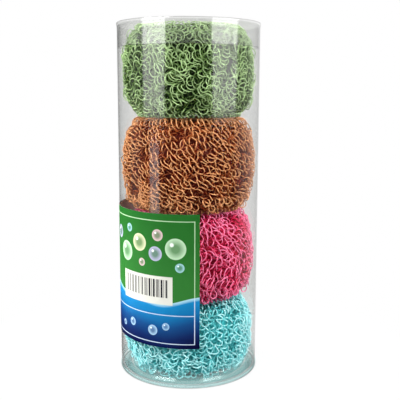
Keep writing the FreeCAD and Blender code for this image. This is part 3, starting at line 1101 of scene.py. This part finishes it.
# %% Looks of the balls
# yarn: radius; slope: degrees of the rows; rims: end, distance from the axis and from that end
# coil: width, pitch, depth, least and most lean; coils: share of coils; stitch: width, tallness, weave
# lengths in millimetres
# the three colours of each ball are painted light and shade by depth: pale at the tips, darkest far inside
BALLS = {
    "green": {
        "tip": (0.35, 0.50, 0.225), "half_shade": (0.076, 0.146, 0.026), "deep_shade": (0.009, 0.027, 0.001),
        "yarn": 0.285, "slope": 60, "sway": 1.0, "loose": 0.75, "strays": 240, "hem": 0,
        "rims": ((1, 28.5, 1), (-1, 28.5, 1)), "spacing": 4.2,
        "coils": 0.9, "coil": (5.6, 2.5, 5.4, 55, 90), "stitch": (5.6, 4.4, 0.9),
    },
    "brown": {
        "tip": (0.60, 0.275, 0.112), "half_shade": (0.31, 0.068, 0.010), "deep_shade": (0.11, 0.006, 0.000),
        "yarn": 0.31, "slope": 38, "sway": 0.3, "loose": 0.55, "strays": 110, "hem": 48,
        "rims": ((1, 32, 2.5), (-1, 28.5, 1)), "spacing": 3.3,
        "coils": 0.5, "coil": (4.8, 2.7, 4.4, 10, 45), "stitch": (5.6, 4.4, 1.2),
    },
    "pink": {
        "tip": (0.80, 0.165, 0.315), "half_shade": (0.65, 0.015, 0.090), "deep_shade": (0.44, 0.002, 0.034),
        "yarn": 0.35, "slope": 5, "sway": 0.5, "loose": 0.7, "strays": 180, "hem": 44,
        "rims": ((1, 28.5, 1), (-1, 28.5, 1)), "spacing": 3.6,
        "coils": 0.5, "coil": (6.2, 3.6, 5.2, 40, 75), "stitch": (6.2, 5.0, 1.1),
    },
    "aqua": {
        "tip": (0.44, 0.84, 0.87), "half_shade": (0.14, 0.67, 0.70), "deep_shade": (0.045, 0.42, 0.44),
        "yarn": 0.33, "slope": 30, "sway": 0.9, "loose": 0.8, "strays": 160, "hem": 44,
        "rims": ((1, 28.5, 1),), "spacing": 3.2,
        "coils": 0.6, "coil": (5.2, 2.8, 4.8, 45, 75), "stitch": (5.2, 4.0, 0.9),
    },
}
print("balls:", *BALLS)

# %% Knit of a ball
# coils as above; shortest: fewest points; hem shift in radians, hem drop as a slope; sizes in millimetres
RIM_COIL = (6.2, 3.0, 3.4, 8, 30)
RIM_LOOSE = 0.35
RIM_SINK = 0.4 * MM
ROW_LONGEST = 60 * MM
ROW_SHORTEST = 8
CROSS_SPACING = 0.9
CROSS_LONGEST = 20 * MM
CROSS_SHORTEST = 4
SINK = (0.6, 1.6)
COIL_SINK = 0.5 * MM
STRAY_SIZE = (1.8, 3.4)
HEM_SHIFT = 0.06
HEM_DROP = (0.5, 0.68)
HEM_SIZE = (1.7, 2.4)
UNDER_COIL = (5.6, 3.0, 4.2, 20, 70)
UNDER_SPACING = 4.4 * MM
UNDER_SHORTEST = 6
UNDER_LOOSE = 1.0
UNDER_SINK = 3.6 * MM
UNDER_POINTS = 9


def in_metres(size):
    """A stitch or coil size with its three lengths in metres; angles stay in degrees."""
    return *(length * MM for length in size[:3]), *size[3:]


def headings(look, sway):
    """The headings along the rows of a ball and across them, at a point of its skin."""

    def along_rows(point, normal):
        angle = math.radians(look["slope"]) + look["sway"] * sway.at(point)
        east = np.array((-normal[1], normal[0], 0))
        size = np.linalg.norm(east)
        east = east / size if size > 1e-6 else np.array((1.0, 0, 0))
        north = np.cross(normal, east)
        return math.cos(angle) * east + math.sin(angle) * north

    def across_rows(point, normal):
        return np.cross(normal, along_rows(point, normal))

    return along_rows, across_rows


def outer_paths(look, skin, along_rows, across_rows, rng):
    """The yarn that shows: coiled rims, rows, short rows across them, stray loops and hem loops."""
    half_height = (skin.high[2] - skin.low[2]) / 2
    rims = []
    for end, off_axis, from_end in look["rims"]:
        rims.append(rim_line(skin, off_axis * MM, end * (half_height - from_end * MM)))
    paths = [coil(*rim, in_metres(RIM_COIL), RIM_LOOSE, RIM_SINK, rng) for rim in rims]
    spacing = look["spacing"] * MM
    lines = ladder_lines(skin, along_rows, spacing, ROW_LONGEST, ROW_SHORTEST, rng, rims)
    spacing *= CROSS_SPACING
    lines += ladder_lines(skin, across_rows, spacing, CROSS_LONGEST, CROSS_SHORTEST, rng, rims + lines)
    for line in lines:
        sink = rng.uniform(*SINK) * MM
        if rng.uniform() < look["coils"]:
            paths.append(coil(*line, in_metres(look["coil"]), look["loose"], sink + COIL_SINK, rng))
        else:
            paths.append(stitches(*line, in_metres(look["stitch"]), look["loose"], sink, rng))
    for ray in rng.normal(size=(look["strays"], 3)):
        paths.append(stray_loop(skin, ray, rng.uniform(*STRAY_SIZE) * MM, rng))
    for turn in np.linspace(0, 2 * math.pi, look["hem"], endpoint=False):
        turn += rng.uniform(-HEM_SHIFT, HEM_SHIFT)
        paths.append(hem_loop(skin, turn, rng.uniform(*HEM_DROP), rng.uniform(*HEM_SIZE) * MM, rng))
    return paths


def under_paths(skin, across_rows, rng):
    """The yarn below, seen through the gaps: wide coils with fewer points."""
    lines = ladder_lines(skin, across_rows, UNDER_SPACING, ROW_LONGEST, UNDER_SHORTEST, rng)
    size = in_metres(UNDER_COIL)
    return [coil(*line, size, UNDER_LOOSE, UNDER_SINK, rng, UNDER_POINTS) for line in lines]


# %% Balls
WIDEST = 41.6 * MM
SWAY_LENGTH = 50 * MM
CORE_SINK = 5.2 * MM


def keep_inside(paths, skin, radius):
    """Hold the yarn off the tube's wall and off the balls above and below."""
    for path in paths:
        path[:, 2] = np.clip(path[:, 2], skin.low[2] + radius, skin.high[2] - radius)
        off = np.hypot(path[:, 0], path[:, 1])
        path[:, :2] *= np.minimum(1, WIDEST / np.maximum(off, 1e-9))[:, None]


def ride_as_yarn(piece, name, skin, material):
    """Let a piece of a ball move with it and wear its yarn."""
    mark_depth(piece, skin)
    piece.data.materials.append(material)
    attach(piece, f"{name}_ball")


for number, (name, look) in enumerate(BALLS.items()):
    node = f"{name}_scrubber"
    skin = BallSkin(node)
    rng = np.random.default_rng(number + 1)
    along_rows, across_rows = headings(look, Waves(rng, SWAY_LENGTH))
    radius = look["yarn"] * MM
    material = yarn_material(f"{name}_yarn", look)
    outer = outer_paths(look, skin, along_rows, across_rows, rng)
    keep_inside(outer, skin, radius)
    knit = yarn_piece(f"{name}_knit", outer, radius)
    ride_as_yarn(knit, name, skin, material)
    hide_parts(node)
    # the under knit and the core lie far below the skin, so they take the darkest painted shade
    inner = under_paths(skin, across_rows, rng)
    keep_inside(inner, skin, radius)
    under = yarn_piece(f"{name}_under_knit", inner, radius)
    ride_as_yarn(under, name, skin, material)
    core = core_piece(f"{name}_core", skin, CORE_SINK)
    ride_as_yarn(core, name, skin, material)
    faces = [len(piece.data.polygons) for piece in (knit, under, core)]
    print(name, len(outer), "outer and", len(inner), "under yarns, faces:", *faces)

# %% [markdown]
# ## Ties
# A thread runs through the middle of every ball and is knotted at both ends, where it gathers the knit into
# a dimple. Three plies wind round each other on helices, and each knot is a trefoil, the simplest closed
# knot, drawn twice side by side. The thread takes the place of the plain solid that stands for it.

# %% Ties
PLIES = 3
PLY = 0.42 * MM
PLY_OFF = 0.5 * MM
LAY = 5.0 * MM
KNOT_HALF = 2.0 * MM
KNOT_REACH = 0.72 * MM
KNOT_RISE = 1.1 * MM
PALE_THREAD = (0.78, 0.76, 0.70)
GREY_THREAD = (0.52, 0.50, 0.45)
THREAD_RELIEF = 0.05 * MM
THREAD_POINTS = 70
KNOT_POINTS = 61
KNOT_APART = 0.3


def thread_material():
    """Pale twisted thread."""
    material, tree = new_material("tie_thread")
    thread = add_node(tree, "ShaderNodeBsdfPrincipled")
    grain = add_node(tree, "ShaderNodeGroup", node_tree=strand_grain)
    grain.inputs["Patch Size"].default_value = 400
    grain.inputs["Roughness"].default_value = 0.6
    patch = sums(tree, "ADD", grain.outputs["Patch"], 0.5)
    tree.links.new(mixed(tree, patch, GREY_THREAD, PALE_THREAD), thread.inputs["Base Color"])
    tree.links.new(grain.outputs["Roughness"], thread.inputs["Roughness"])
    relief = bumped(tree, grain.outputs["Height"], THREAD_RELIEF, strength=0.4)
    tree.links.new(relief, thread.inputs["Normal"])
    show(tree, thread)
    return material


def knot(level, shift):
    """A closed trefoil round the axis at a level; the shift moves and turns it a little."""
    turn = np.linspace(0, 2 * math.pi, KNOT_POINTS)
    x = KNOT_REACH * (np.sin(turn) + 2 * np.sin(2 * turn))
    y = KNOT_REACH * (np.cos(turn) - 2 * np.cos(2 * turn))
    z = level + shift - KNOT_RISE * np.sin(3 * turn)
    twist = shift / PLY
    turned_x = math.cos(twist) * x + math.sin(twist) * y
    turned_y = math.cos(twist) * y - math.sin(twist) * x
    return np.stack((turned_x, turned_y, z), -1)


pale_thread = thread_material()
for name in BALLS:
    low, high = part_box(f"{name}_tie")
    up = np.linspace(low[2] + KNOT_HALF, high[2] - KNOT_HALF, THREAD_POINTS)
    strands = []
    for ply in range(PLIES):
        turn = 2 * math.pi * (up / LAY + ply / PLIES)
        strands.append(np.stack((PLY_OFF * np.cos(turn), PLY_OFF * np.sin(turn), up), -1))
    for level in (up[0], up[-1]):
        strands += [knot(level, -KNOT_APART * PLY), knot(level, KNOT_APART * PLY)]
    thread = yarn_piece(f"{name}_thread", strands, PLY)
    thread.data.materials.append(pale_thread)
    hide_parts(f"{name}_tie")
    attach(thread, f"{name}_ball")
    print(thread.name, len(thread.data.polygons), "faces")
